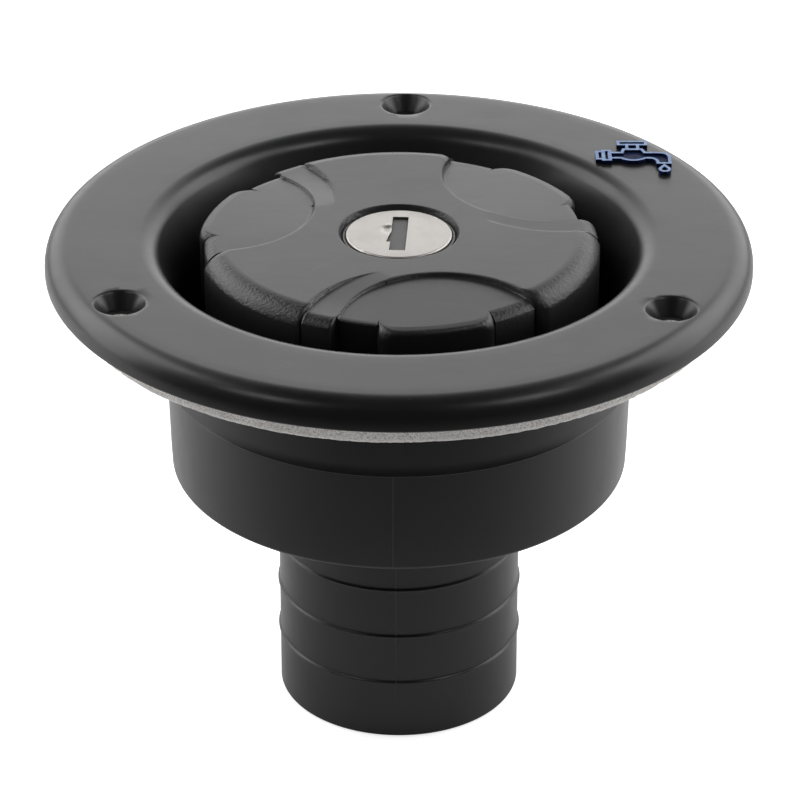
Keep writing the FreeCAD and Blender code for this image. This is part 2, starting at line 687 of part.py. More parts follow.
def wafer(number):
    """Flat tumbler with a key window and a side tab for its spring."""
    travel = WAFER_TRAVELS[number]
    low = wafer_middle(number) - WAFER_T / 2
    high = wafer_middle(number) + WAFER_T / 2
    body = block(WAFER_WIDTH, 2 * BARREL_R, low, high).common(disc(WAFER_END_R, low, high))
    body = body.cut(block(*WAFER_WINDOW, low - 1, high + 1, (0, 0.45 - travel)))
    tab = block(*WAFER_TAB, low, high, (WAFER_WIDTH / 2 + 0.6, -0.25))
    return turned(fused([body, tab]), KEY_TILT)


def wafer_springs():
    springs = []
    for number in range(len(WAFER_TRAVELS)):
        foot = Vector(WAFER_WIDTH / 2 + 0.75, WAFER_COIL_FOOT_Y, wafer_middle(number))
        springs.append(turned(coil(*WAFER_COIL, foot, Vector(0, 1, 0)), KEY_TILT))
    return Part.makeCompound(springs)


def spiral_point(fraction, offset):
    """Point beside the cam's Archimedean spiral, offset along the spiral's normal."""
    sweep = math.radians(LOCK_TRAVEL_DEG)
    turn = sweep * fraction
    radius = CAM_START_R + BOLT_THROW * fraction
    along = Vector(BOLT_THROW / sweep, radius, 0).normalize()
    outward = Vector(along.y, -along.x, 0)
    local = Vector(radius, 0, 0) + outward * offset
    local_angle = math.atan2(local.y, local.x)
    return polar(local.Length, math.degrees(turn + local_angle))


def cam_slot():
    """Slot whose distance from the axis grows evenly with the turn."""
    half = CAM_PIN_R + CAM_PLAY
    steps = 10
    sides = []
    for offset in (half, -half):
        curve = Part.BSplineCurve()
        curve.interpolate([spiral_point(step / steps, offset) for step in range(steps + 1)])
        sides.append(curve.toShape())
    caps = []
    for fraction in (0, 1):
        tip = disc(half, DISC_UNDER - 1, DISC_TOP + 1, (CAM_START_R + BOLT_THROW * fraction, 0))
        caps.append(turned(tip, LOCK_TRAVEL_DEG * fraction))
    ends = [Part.makeLine(spiral_point(f, half), spiral_point(f, -half)) for f in (0, 1)]
    face = Part.Face(Part.Wire([sides[0], ends[1], sides[1], ends[0]]))
    face.translate(Vector(0, 0, DISC_UNDER - 1))
    return face.extrude(Vector(0, 0, DISC_TOP - DISC_UNDER + 2)).fuse(caps)


def cam_disc():
    """Disc on the plug's drive end; its spiral slot moves the bolt in and out."""
    cam = disc(DISC_R, DISC_UNDER, DISC_TOP)
    square = block(DRIVE_SQUARE, DRIVE_SQUARE, DISC_UNDER - 1, DISC_TOP + 1)
    cam = cam.cut(turned(square, KEY_TILT))
    return cam.cut(turned(cam_slot(), BOLT_ANGLE))


def cam_washer():
    inner, outer, thickness = CAM_WASHER
    return ring(inner, outer, DISC_UNDER - thickness, DISC_UNDER)


def cam_screw():
    head_under = DISC_UNDER - CAM_WASHER[2]
    return pan_screw(Vector(0, 0, 0), head_under, *CAM_SCREW_HEAD, CAM_SCREW_R, CAM_SCREW_LENGTH)


def locking_bolt():
    """Bolt that slides out beside a rib of the neck, with a pin that rides in the cam's slot."""
    bar = block(BOLT_TIP_R, BOLT_WIDTH, BOLT_UNDER, BOLT_TOP, (BOLT_TAIL_R + BOLT_TIP_R / 2, 0))
    bar = bar.common(disc(BOLT_TIP_R, BOLT_UNDER, BOLT_TOP))
    pin = disc(CAM_PIN_R, BOLT_TOP - 0.5, DISC_TOP - 0.1, (CAM_START_R, 0))
    return turned(fused([bar, pin]), BOLT_ANGLE)


# ---- write every piece -------------------------------------------------------------------------
PIECES = [
    deck_housing, foam_gasket, bayonet_neck_ring, water_symbol,
    cap_seal,
    cap_shell, cap_plug, cap_screws, lock_sleeve, lock_o_ring, lock_nut, bolt_guide_cover, cover_screws,
    lock_plug, lock_face_cover, shutter_pin, shutter_spring, wafer_springs,
    cam_disc, cam_washer, cam_screw,
    key_shutter, locking_bolt,
]


def write_parts():
    os.makedirs("parts", exist_ok=True)
    shapes = {piece.__name__: piece() for piece in PIECES}
    for number in range(len(WAFER_TRAVELS)):
        shapes[f"wafer_{number + 1}"] = wafer(number)
    for name, shape in shapes.items():
        shape.exportStep(f"parts/{name}.step")


write_parts()
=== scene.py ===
import math

import bmesh
import bpy
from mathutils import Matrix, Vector, noise

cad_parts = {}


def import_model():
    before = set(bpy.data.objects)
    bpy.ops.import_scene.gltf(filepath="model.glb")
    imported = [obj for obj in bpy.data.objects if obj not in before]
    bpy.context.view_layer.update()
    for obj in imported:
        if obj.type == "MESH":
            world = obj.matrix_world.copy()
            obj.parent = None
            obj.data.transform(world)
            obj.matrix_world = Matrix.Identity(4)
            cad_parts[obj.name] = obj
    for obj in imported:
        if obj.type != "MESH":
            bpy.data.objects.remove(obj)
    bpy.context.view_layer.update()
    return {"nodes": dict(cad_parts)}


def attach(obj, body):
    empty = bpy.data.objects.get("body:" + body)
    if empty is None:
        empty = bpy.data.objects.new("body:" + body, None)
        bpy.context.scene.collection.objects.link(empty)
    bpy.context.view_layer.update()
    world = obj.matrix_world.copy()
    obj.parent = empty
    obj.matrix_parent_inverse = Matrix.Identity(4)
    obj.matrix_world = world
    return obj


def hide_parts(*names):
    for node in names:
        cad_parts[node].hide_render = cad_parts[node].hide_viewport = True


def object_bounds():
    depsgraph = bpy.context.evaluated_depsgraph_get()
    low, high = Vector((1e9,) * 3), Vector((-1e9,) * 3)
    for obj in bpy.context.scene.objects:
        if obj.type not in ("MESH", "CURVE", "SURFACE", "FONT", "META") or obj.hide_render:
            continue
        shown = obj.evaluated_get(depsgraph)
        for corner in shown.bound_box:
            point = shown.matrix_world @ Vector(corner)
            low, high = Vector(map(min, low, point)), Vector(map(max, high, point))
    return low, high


MM = 0.001

# ---- sizes that the visible pieces share with the design, in millimetres and degrees -------------
# flange: a plate with a lip under its edge
FLANGE_R = 57.0
FLANGE_TOP = 8.4
FLANGE_ROLL = 3.7
PLATE_UNDER = 5.2
LIP_BOTTOM = 3.6
LIP_INNER_R = 54.2
EDGE_ROUND = 0.4

# bowl, with a rolled lip that slopes into its wall
BOWL_R = 35.3
BOWL_TOP = -3.16
BOWL_FLOOR = -29.4
BOWL_FILLET = 2.0
LIP_FLAT_R = 41.9
LIP_ROLL = 3.6
LIP_LOW_ROLL = 8.0
LIP_SLOPE = 157.0
NECK_R = 27.4
REGISTER_R = 28.8
REGISTER_HEIGHT = 2.0

# body under the flange
BODY_R = 38.1
BODY_ROOT = 3.2
BODY_LOW_R = 37.4
BODY_BOTTOM = -32.2
BODY_CORNER = 0.8
PARTING_Z = -14.8
PARTING_STEP = 0.2
PARTING_RIDGE = 0.09
DRAFT_ROW = 1.3
DRAFT_FALL = 0.035

# hose tail
TAIL_R = 20.0
TAIL_ROOT = 1.0
TAIL_BORE_R = 17.4
TAIL_BOTTOM = -75.0
TAIL_END_ROUND = 0.6
THROAT_ROUND = 0.8
BEADS = (-46.5, -55.4, -64.3)
BEAD_HEIGHT = 0.3
BEAD_WIDTH = 0.2
BEAD_ROWS = (-0.5, -0.36, -0.26, -0.17, -0.08, 0.0, 0.08, 0.17, 0.26, 0.36, 0.5)
BEAD_FLAT = 1.4

# mould seams at the front and the back
SEAM_ANGLES = (268.6, 88.6)
SEAM_HEIGHT = 0.09
SEAM_WIDTH = 0.085

# screw holes
SCREW_PCR = 49.6
SCREW_ANGLES = (88.67, 208.67, 328.67)
SCREW_HOLE_R = 2.2
SINK_R = 4.03
SINK_NECK_R = 2.45
SINK_DEPTH = 2.6
SINK_LIP = 0.4

# foam gasket
GASKET_R = 53.8
GASKET_INNER_R = 41.5
GASKET_HOLE_R = 2.7
GASKET_EDGE = 0.4

# cap shell; its lobes and rim have their own section below
CAP_R = 32.35
CAP_TOP = 8.9
CAP_UNDER = 6.1
SKIRT_BOTTOM = -5.0
SKIRT_INNER_R = 28.2
SKIRT_CORNER = 1.0
LOCK_HOLE_R = 9.1
LOCK_RECESS_Z = 7.95
LOCK_EDGE_R = 9.9
LOCK_EDGE_ROUND = 0.2

# lock face
FACE_R = 8.6
FACE_TOP = 8.55
FACE_UNDER = 8.3
FACE_RIM_BOTTOM = 7.2
FACE_ROUND = 0.35
FACE_WALL = 0.28
FACE_CROWN = 0.05
KEY_TILT = -3.0
KEY_SLOT = (2.55, 11.9)


# ---- small helpers -------------------------------------------------------------------------------
def polar(radius, degrees):
    angle = math.radians(degrees)
    return radius * math.cos(angle), radius * math.sin(angle)


def soft_step(edge, width, value):
    """0 before an edge and 1 after it, with a smooth change of a given width."""
    t = min(1.0, max(0.0, (value - edge) / width + 0.5))
    return t * t * (3 - 2 * t)


def arc(centre, radius, first, last, steps):
    """Points of a profile along an arc, in degrees."""
    points = []
    for step in range(steps + 1):
        x, y = polar(radius, first + (last - first) * step / steps)
        points.append((centre[0] + x, centre[1] + y))
    return points


def rows_between(low, high, count):
    """Evenly spaced values between two ends, without the ends."""
    return [low + (high - low) * (number + 1) / (count + 1) for number in range(count)]


def new_object(name, bm, sharp_degrees=40.0):
    """Mesh object from a bmesh in millimetres, smooth apart from its sharp edges."""
    bmesh.ops.recalc_face_normals(bm, faces=bm.faces)
    bmesh.ops.scale(bm, vec=(MM, MM, MM), verts=bm.verts)
    mesh = bpy.data.meshes.new(name)
    for face in bm.faces:
        face.smooth = True
    bm.to_mesh(mesh)
    bm.free()
    mesh.set_sharp_from_angle(angle=math.radians(sharp_degrees))
    obj = bpy.data.objects.new(name, mesh)
    bpy.context.scene.collection.objects.link(obj)
    return obj


def skin(bm, columns, closed=True):
    """Faces between neighbouring columns of vertices, round and back to the first column."""
    for number, column in enumerate(columns):
        following = columns[(number + 1) % len(columns)]
        for row in range(len(column) if closed else len(column) - 1):
            after = (row + 1) % len(column)
            bm.faces.new((column[row], following[row], following[after], column[after]))


def lathe(bm, profile, angles, place):
    """Skin of revolution: place(radius, height, degrees) gives each point of a closed profile."""
    skin(bm, [[bm.verts.new(place(r, z, angle)) for r, z in profile] for angle in angles])


def even_angles(count):
    return [360.0 * number / count for number in range(count)]


def apply_modifiers(obj):
    """Leaves the evaluated mesh in the object, with no modifier on it."""
    graph = bpy.context.evaluated_depsgraph_get()
    mesh = bpy.data.meshes.new_from_object(obj.evaluated_get(graph))
    obj.modifiers.clear()
    obj.data = mesh


def cut_with(obj, cutters):
    """Cuts the cutters out of an object, and removes them."""
    for cutter in cutters:
        modifier = obj.modifiers.new("cut", "BOOLEAN")
        modifier.operation = "DIFFERENCE"
        modifier.solver = "EXACT"
        modifier.object = cutter
    apply_modifiers(obj)
    for cutter in cutters:
        bpy.data.objects.remove(cutter)


def fit(obj, material, body, node):
    """Dresses a finished skin and puts it on its body, in place of the design's piece."""
    obj.data.materials.clear()
    obj.data.materials.append(material)
    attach(obj, body)
    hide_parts(node)


# ---- material building blocks --------------------------------------------------------------------
def map_range(tree, value, low, high, to_low, to_high):
    """Node that takes a value from one range to another, with a smooth change."""
    node = tree.nodes.new("ShaderNodeMapRange")
    node.interpolation_type = "SMOOTHSTEP"
    tree.links.new(value, node.inputs["Value"])
    for name, number in (("From Min", low), ("From Max", high), ("To Min", to_low), ("To Max", to_high)):
        node.inputs[name].default_value = number
    return node.outputs["Result"]


class Nodes:
    """Short way to build one material's node tree."""

    def __init__(self, name):
        self.material = bpy.data.materials.new(name)
        self.material.use_nodes = True
        self.tree = self.material.node_tree
        self.tree.nodes.clear()
        self.output = self.tree.nodes.new("ShaderNodeOutputMaterial")
        self.surface = self.tree.nodes.new("ShaderNodeBsdfPrincipled")
        self.join(self.surface.outputs[0], self.output.inputs["Surface"])
        self.place = self.tree.nodes.new("ShaderNodeTexCoord").outputs["Object"]

    def join(self, source, target):
        """Links an output to an input."""
        self.tree.links.new(source, target)

    def feed(self, target, value):
        """Gives an input a number, a colour or another node's output."""
        if isinstance(value, (int, float, tuple)):
            target.default_value = value
        else:
            self.join(value, target)

    def set(self, **values):
        """Feeds the surface shader's inputs by name."""
        for name, value in values.items():
            self.feed(self.surface.inputs[name.replace("_", " ")], value)

    def noise(self, scale, detail=3.0, roughness=0.55, place=None):
        """Cloudy values from 0 to 1."""
        node = self.tree.nodes.new("ShaderNodeTexNoise")
        self.join(place or self.place, node.inputs["Vector"])
        node.inputs["Scale"].default_value = scale
        node.inputs["Detail"].default_value = detail
        node.inputs["Roughness"].default_value = roughness
        return node.outputs["Fac"]

    def cells(self, scale):
        """Distance to the middle of the nearest cell."""
        node = self.tree.nodes.new("ShaderNodeTexVoronoi")
        self.join(self.place, node.inputs["Vector"])
        node.inputs["Scale"].default_value = scale
        return node.outputs["Distance"]

    def stretched(self, factors, turn=0.0):
        """Object coordinates scaled along each axis, then turned about Z."""
        node = self.tree.nodes.new("ShaderNodeMapping")
        node.inputs["Scale"].default_value = factors
        node.inputs["Rotation"].default_value = (0, 0, math.radians(turn))
        self.join(self.place, node.inputs["Vector"])
        return node.outputs["Vector"]

    def math(self, operation, first, second=0.0):
        node = self.tree.nodes.new("ShaderNodeMath")
        node.operation = operation
        self.feed(node.inputs[0], first)
        self.feed(node.inputs[1], second)
        return node.outputs[0]

    def remap(self, value, low, high, to_low, to_high):
        return map_range(self.tree, value, low, high, to_low, to_high)

    def mix(self, factor, first, second):
        node = self.tree.nodes.new("ShaderNodeMix")
        node.data_type = "RGBA"
        # a Mix node keeps its colour sockets after those for numbers and vectors
        self.feed(node.inputs[0], factor)
        self.feed(node.inputs[6], first)
        self.feed(node.inputs[7], second)
        return node.outputs[2]

    def axis(self, name, source=None):
        """One component of the position, or of another vector."""
        node = self.tree.nodes.new("ShaderNodeSeparateXYZ")
        self.join(source or self.place, node.inputs[0])
        return node.outputs[name]

    def normal(self):
        return self.tree.nodes.new("ShaderNodeNewGeometry").outputs["Normal"]

    def outward_edges(self, low=0.5, high=0.56):
        """1 on outward edges of the mesh, 0 elsewhere."""
        node = self.tree.nodes.new("ShaderNodeNewGeometry")
        return self.remap(node.outputs["Pointiness"], low, high, 0.0, 1.0)

    def bump(self, height, distance, strength=1.0, under=None):
        """Normal with small relief, on top of another relief if one is given."""
        node = self.tree.nodes.new("ShaderNodeBump")
        node.inputs["Strength"].default_value = strength
        node.inputs["Distance"].default_value = distance
        self.join(height, node.inputs["Height"])
        if under is not None:
            self.join(under, node.inputs["Normal"])
        return node.outputs["Normal"]


def rgb(value, green=None, blue=None):
    """Colour from three numbers, or a grey from one."""
    return (value, value if green is None else green, value if blue is None else blue, 1.0)


# ---- materials -----------------------------------------------------------------------------------
def moulded_black(name, tone, rough, grain, rim_grain=0.0):
    """Black moulded plastic: fine spark-eroded grain, faint flow clouding and a few dust specks.

    A rim grain adds coarser grain where the surface rounds over from the top.
    """
    n = Nodes(name)
    clouds = n.noise(45.0, 4.0, 0.6)
    fine = n.noise(4300.0, 2.0, 0.6)
    scuffs = n.noise(160.0, 5.0, 0.7, n.stretched((1.0, 3.5, 1.0), 24.0))
    specks = n.remap(n.cells(330.0), 0.018, 0.032, 1.0, 0.0)
    few = n.remap(n.noise(70.0, 1.0), 0.6, 0.66, 0.0, 1.0)
    dust = n.math("MULTIPLY", specks, few)
    shade = n.mix(n.remap(clouds, 0.3, 0.7, 0.0, 1.0), rgb(tone * 0.9), rgb(tone * 1.12))
    # Outward edges painted lighter: partly rubbed wear, partly a painted highlight along the edges.
    shade = n.mix(n.math("MULTIPLY", n.outward_edges(0.56, 0.64), 0.35), shade, rgb(tone * 2.2))
    shade = n.mix(n.math("MULTIPLY", dust, 0.55), shade, rgb(0.42))
    wander = n.math("MULTIPLY", n.math("ADD", clouds, scuffs), 0.14)
    roughness = n.math("ADD", wander, rough - 0.14)
    surface = n.bump(n.noise(420.0, 3.0, 0.6), 0.00002, 0.35 * grain)
    if rim_grain:
        up = n.axis("Z", n.normal())
        rounded = n.math("MULTIPLY", n.remap(up, 0.96, 0.995, 1.0, 0.0), n.remap(up, 0.1, 0.4, 0.0, 1.0))
        roughness = n.math("ADD", roughness, n.math("MULTIPLY", rounded, 0.06))
        coarse = n.math("MULTIPLY", n.noise(1700.0, 2.0, 0.6), rounded)
        surface = n.bump(coarse, 0.00012, rim_grain, surface)
    n.set(Base_Color=shade, Roughness=roughness, IOR=1.5)
    n.set(Normal=n.bump(fine, 0.00002, grain, surface))
    return n.material


def foam_painted_glow():
    """Light grey foam: fine pores of several sizes with painted shade inside, a paler cut skin below, and a
    painted glow.
    """
    n = Nodes("foam_painted_glow")
    big = n.remap(n.cells(1500.0), 0.1, 0.42, 0.0, 1.0)
    small = n.remap(n.cells(3400.0), 0.08, 0.5, 0.0, 1.0)
    holes = n.math("MULTIPLY", n.math("ADD", n.math("MULTIPLY", big, 0.5), 0.5), small)
    speck = n.noise(2600.0, 3.0, 0.7)
    pores = n.math("MULTIPLY", holes, n.remap(speck, 0.25, 0.6, 0.6, 1.0))
    patches = n.noise(140.0, 4.0, 0.6)
    skin = n.remap(n.axis("Z"), 0.0002, 0.0009, 1.0, 0.0)
    # Dark pore colour is painted shade: the shade inside the pores, which are only a bump here.
    body = n.mix(pores, rgb(0.33, 0.315, 0.3), rgb(0.82, 0.795, 0.77))
    body = n.mix(n.remap(patches, 0.35, 0.65, 0.0, 0.35), body, rgb(0.58, 0.56, 0.54))
    body = n.mix(n.math("MULTIPLY", skin, 0.5), body, rgb(0.86, 0.84, 0.82))
    n.set(Base_Color=body, Roughness=0.95, Specular_IOR_Level=0.15)
    # Emission is a painted glow: fill light painted into the foam so that its shaded sides read lighter.
    n.set(Emission_Color=body, Emission_Strength=0.26)
    n.set(Normal=n.bump(pores, 0.00014, 0.8))
    return n.material


def brushed_steel(name, tone, rough, turn=90.0):
    """Stainless steel with straight brushing, faint stains and brighter worn edges."""
    n = Nodes(name)
    lines = n.noise(900.0, 3.0, 0.6, n.stretched((1.0, 0.03, 0.6), turn))
    broad = n.noise(260.0, 3.0, 0.6, n.stretched((1.0, 0.12, 1.0), turn))
    stains = n.noise(170.0, 4.0, 0.6)
    warm = n.mix(n.remap(stains, 0.35, 0.7, 0.0, 1.0), tone, tuple(c * 0.9 for c in tone[:3]) + (1.0,))
    warm = n.mix(n.math("MULTIPLY", n.outward_edges(0.6, 0.7), 0.4), warm, rgb(0.8, 0.79, 0.77))
    vary = n.math("MULTIPLY", n.math("ADD", lines, broad), 0.1)
    n.set(Base_Color=warm, Metallic=1.0, Roughness=n.math("ADD", vary, rough - 0.1))
    n.set(Normal=n.bump(lines, 0.000004, 0.5))
    return n.material


def cast_metal(name, tone, rough):
    """Die-cast or stamped metal with a mottled, slightly pitted skin."""
    n = Nodes(name)
    mottle = n.noise(300.0, 5.0, 0.65)
    pits = n.remap(n.cells(900.0), 0.05, 0.2, 0.0, 1.0)
    shade = n.mix(n.remap(mottle, 0.3, 0.7, 0.0, 1.0), tone, tuple(c * 0.75 for c in tone[:3]) + (1.0,))
    shade = n.mix(n.math("MULTIPLY", n.outward_edges(), 0.5), shade, rgb(0.85))
    n.set(Base_Color=shade, Metallic=1.0, Roughness=n.remap(mottle, 0.2, 0.8, rough - 0.08, rough + 0.08))
    n.set(Normal=n.bump(n.math("MULTIPLY", mottle, pits), 0.00003, 0.5))
    return n.material


def painted_black():
    """Thin semi-gloss black on the lock's sleeve, worn to metal on its edges."""
    n = Nodes("painted_black")
    orange_peel = n.noise(700.0, 2.0, 0.5)
    n.set(Base_Color=n.mix(n.math("MULTIPLY", n.outward_edges(0.53, 0.62), 0.5), rgb(0.012), rgb(0.3)))
    n.set(Roughness=n.remap(orange_peel, 0.3, 0.7, 0.28, 0.42))
    n.set(Normal=n.bump(orange_peel, 0.00001, 0.4))
    return n.material


def soft_rubber():
    """Dull black rubber with moulding bloom."""
    n = Nodes("soft_rubber")
    bloom = n.noise(210.0, 4.0, 0.6)
    n.set(Base_Color=n.mix(n.remap(bloom, 0.4, 0.7, 0.0, 1.0), rgb(0.018), rgb(0.035)))
    n.set(Roughness=n.remap(bloom, 0.3, 0.7, 0.6, 0.8))
    n.set(Normal=n.bump(n.noise(1500.0, 2.0), 0.00002, 0.6))
    return n.material


def mark_blue():
    """Raised mark: pale blue paint on the upward faces, dark navy on the sides and the base."""
    n = Nodes("mark_blue")
    up = n.remap(n.axis("Z", n.normal()), 0.3, 0.85, 0.0, 1.0)
    high = n.remap(n.axis("Z"), (FLANGE_TOP + 0.4) * MM, (FLANGE_TOP + 0.6) * MM, 0.0, 1.0)
    top = n.math("MULTIPLY", up, high)
    patch = n.noise(900.0, 3.0, 0.6)
    paint = n.mix(n.remap(patch, 0.35, 0.65, 0.0, 1.0), rgb(0.15, 0.24, 0.46), rgb(0.25, 0.36, 0.58))
    n.set(Base_Color=n.mix(top, rgb(0.006, 0.012, 0.05), paint))
    n.set(Specular_IOR_Level=n.remap(top, 0.0, 1.0, 0.12, 0.4))
    n.set(Roughness=n.remap(patch, 0.3, 0.7, 0.45, 0.6))
    n.set(Normal=n.bump(patch, 0.00003, 0.5))
    return n.material


def floor_white():
    """Pale floor that reads as lit paper to the camera, and as a dimmer table in reflections."""
    n = Nodes("floor_white")
    seen = n.tree.nodes.new("ShaderNodeLightPath").outputs["Is Camera Ray"]
    mottle = n.noise(9.0, 3.0)
    # Towards the front the floor is darker in reflections and bounced light: painted shade for the dark room
    # on the camera's side.
    front = n.remap(n.axis("Y"), -0.22, 0.02, 0.0, 1.0)
    n.set(Base_Color=n.mix(seen, n.mix(front, rgb(0.22), rgb(0.88)), rgb(0.86)))
    n.set(Roughness=n.remap(mottle, 0.3, 0.7, 0.62, 0.78))
    n.set(Specular_IOR_Level=0.1, Emission_Color=rgb(1.0), Emission_Strength=n.math("MULTIPLY", seen, 0.7))
    return n.material


# ---- deck housing --------------------------------------------------------------------------------
def flange_outline():
    """From the foot of the bowl's lip, over the flange and its edge, to the wall under it."""
    outline = arc((BOWL_R + LIP_LOW_ROLL, BOWL_TOP), LIP_LOW_ROLL, 180, LIP_SLOPE, 8)
    outline += arc((LIP_FLAT_R, FLANGE_TOP - LIP_ROLL), LIP_ROLL, LIP_SLOPE, 90, 14)
    outline += [(r, FLANGE_TOP) for r in rows_between(LIP_FLAT_R, FLANGE_R - FLANGE_ROLL, 5)]
    outline += arc((FLANGE_R - FLANGE_ROLL, FLANGE_TOP - FLANGE_ROLL), FLANGE_ROLL, 90, 0, 14)
    outline += arc((FLANGE_R - EDGE_ROUND, LIP_BOTTOM + EDGE_ROUND), EDGE_ROUND, 0, -90, 4)
    outline += arc((LIP_INNER_R + EDGE_ROUND, LIP_BOTTOM + EDGE_ROUND), EDGE_ROUND, -90, -180, 4)
    outline += [(LIP_INNER_R, PLATE_UNDER), (BODY_R + BODY_ROOT, PLATE_UNDER)]
    return outline


def body_outline():
    """Down the body: root, fine ridge and step at the mould's parting, draft, and the lower corner."""
    outline = arc((BODY_R + BODY_ROOT, PLATE_UNDER - BODY_ROOT), BODY_ROOT, 90, 180, 7)[1:]
    outline += [(BODY_R, z) for z in rows_between(PLATE_UNDER - BODY_ROOT, PARTING_Z, 8)]
    outline += [(BODY_R, PARTING_Z + 0.24), (BODY_R + PARTING_RIDGE, PARTING_Z + 0.1)]
    outline += [(BODY_R + 0.05, PARTING_Z), (BODY_R - PARTING_STEP, PARTING_Z - 0.16)]
    low_r = BODY_R - PARTING_STEP
    outline += [(low_r - DRAFT_FALL * row, PARTING_Z - DRAFT_ROW * row) for row in range(1, 11)]
    outline += arc((BODY_LOW_R - BODY_CORNER, BODY_BOTTOM + BODY_CORNER), BODY_CORNER, 0, -90, 10)
    outline += [(r, BODY_BOTTOM) for r in rows_between(BODY_LOW_R - BODY_CORNER, TAIL_R + TAIL_ROOT, 4)]
    return outline


def tail_outline():
    """Down the outside of the hose tail with its beads, and back up its bore."""
    outline = arc((TAIL_R + TAIL_ROOT, BODY_BOTTOM - TAIL_ROOT), TAIL_ROOT, 90, 180, 6)
    for z in BEADS:
        outline += [(TAIL_R, z + BEAD_FLAT)]
        outline += [(TAIL_R + BEAD_HEIGHT * math.exp(-((dz / BEAD_WIDTH) ** 2)), z - dz) for dz in BEAD_ROWS]
        outline += [(TAIL_R, z - BEAD_FLAT), (TAIL_R, z - BEAD_FLAT - 3.0)]
    outline += arc((TAIL_R - TAIL_END_ROUND, TAIL_BOTTOM + TAIL_END_ROUND), TAIL_END_ROUND, 0, -90, 8)
    outline += arc((TAIL_BORE_R + EDGE_ROUND, TAIL_BOTTOM + EDGE_ROUND), EDGE_ROUND, -90, -180, 4)
    throat_z = BOWL_FLOOR - THROAT_ROUND
    outline += [(TAIL_BORE_R, z) for z in rows_between(TAIL_BOTTOM + EDGE_ROUND, throat_z, 6)]
    outline += arc((TAIL_BORE_R + THROAT_ROUND, throat_z), THROAT_ROUND, 180, 90, 5)
    return outline


def bowl_outline():
    """Bowl floor with the register that holds the neck ring, and the wall up to the lip."""
    register_z = BOWL_FLOOR + REGISTER_HEIGHT
    outline = [(NECK_R, BOWL_FLOOR), (NECK_R, register_z), (REGISTER_R, register_z), (REGISTER_R, BOWL_FLOOR)]
    outline += arc((BOWL_R - BOWL_FILLET, BOWL_FLOOR + BOWL_FILLET), BOWL_FILLET, -90, 0, 6)
    outline += [(BOWL_R, z) for z in rows_between(BOWL_FLOOR + BOWL_FILLET, BOWL_TOP, 8)]
    return outline


def seam_angles(count):
    """Even angles, with close ones across the two mould seams."""
    close = (0.0, 0.06, 0.16, 0.28, 0.5)
    angles = set(even_angles(count))
    for seam in SEAM_ANGLES:
        angles = {angle for angle in angles if abs(angle - seam) > 0.6}
        angles |= {seam + side * step for side in (-1, 1) for step in close}
    return sorted(angles)


def housing_point(radius, z, angle):
    """Point of the housing, with the raised mould seams on the body and the tail."""
    x, y = polar(1.0, angle)
    outside = radius > TAIL_R - 0.01 if z < BODY_BOTTOM - 0.5 else radius > BODY_LOW_R - 1.0
    if outside and TAIL_BOTTOM + 1.0 < z < PARTING_Z - 0.1:
        for seam in SEAM_ANGLES:
            away = math.radians(angle - seam) * radius
            radius += SEAM_HEIGHT * math.exp(-((away / SEAM_WIDTH) ** 2))
    return radius * x, radius * y, z


def screw_sink(angle):
    """Cutter for one screw hole: softened lip, countersink and through hole."""
    floor = FLANGE_TOP - SINK_DEPTH
    lip = [(SINK_R + SINK_LIP, FLANGE_TOP + 0.01), (SINK_R + SINK_LIP / 2, FLANGE_TOP - 0.05)]
    lip += [(SINK_R + 0.05, FLANGE_TOP - 0.17), (SINK_R - 0.08, FLANGE_TOP - 0.38)]
    sink = [(SINK_NECK_R + 0.12, floor + 0.25), (SINK_NECK_R, floor), (SCREW_HOLE_R + 0.05, floor - 0.02)]
    profile = [(SINK_R + SINK_LIP, FLANGE_TOP + 2.0)] + lip + sink
    profile += [(SCREW_HOLE_R, floor - 0.1), (SCREW_HOLE_R, LIP_BOTTOM - 1.0)]
    centre = polar(SCREW_PCR, angle)
    bm = bmesh.new()
    columns = []
    for turn in even_angles(64):
        columns.append([])
        for r, z in profile:
            x, y = polar(r, turn)
            columns[-1].append(bm.verts.new((centre[0] + x, centre[1] + y, z)))
    skin(bm, columns, closed=False)
    bm.faces.new([column[0] for column in columns])
    bm.faces.new([column[-1] for column in columns])
    return new_object("sink_cutter", bm)


def build_housing(material):
    """Flange, bowl, body and tail as one turned skin, with the screw holes cut through it."""
    profile = flange_outline() + body_outline() + tail_outline() + bowl_outline()
    bm = bmesh.new()
    lathe(bm, profile, seam_angles(288), housing_point)
    housing = new_object("deck_housing_moulding", bm)
    cut_with(housing, [screw_sink(angle) for angle in SCREW_ANGLES])
    housing.data.set_sharp_from_angle(angle=math.radians(38))
    fit(housing, material, "housing", "deck_housing")


# ---- foam gasket ---------------------------------------------------------------------------------
def foam_point(radius, z, angle):
    """Cut foam: a wavy edge with torn pores, flatter where it meets the flange and the deck."""
    x, y = polar(1.0, angle)
    spot = Vector((x * radius, y * radius, z))
    if radius > GASKET_R - 2.0:
        wave = noise.noise(Vector((x * 5.0, y * 5.0, 3.0))) * 0.16
        lump = noise.noise(spot * 0.8) * 0.1
        tear = noise.noise(spot * 3.1) * 0.09
        radius += wave + lump + tear - 0.14
    if z < 0.3:
        z += max(0.0, noise.noise(spot * 0.55) * 0.14 + noise.noise(spot * 3.0) * 0.07)
    return radius * x, radius * y, z


def gasket_cutter(angle):
    """Cylinder for one screw hole through the foam."""
    x, y = polar(SCREW_PCR, angle)
    bm = bmesh.new()
    bmesh.ops.create_cone(bm, cap_ends=True, segments=40, radius1=GASKET_HOLE_R,
                          radius2=GASKET_HOLE_R, depth=2 * PLATE_UNDER + 4)
    bmesh.ops.translate(bm, verts=bm.verts, vec=(x, y, 0.0))
    return new_object("gasket_cutter", bm)


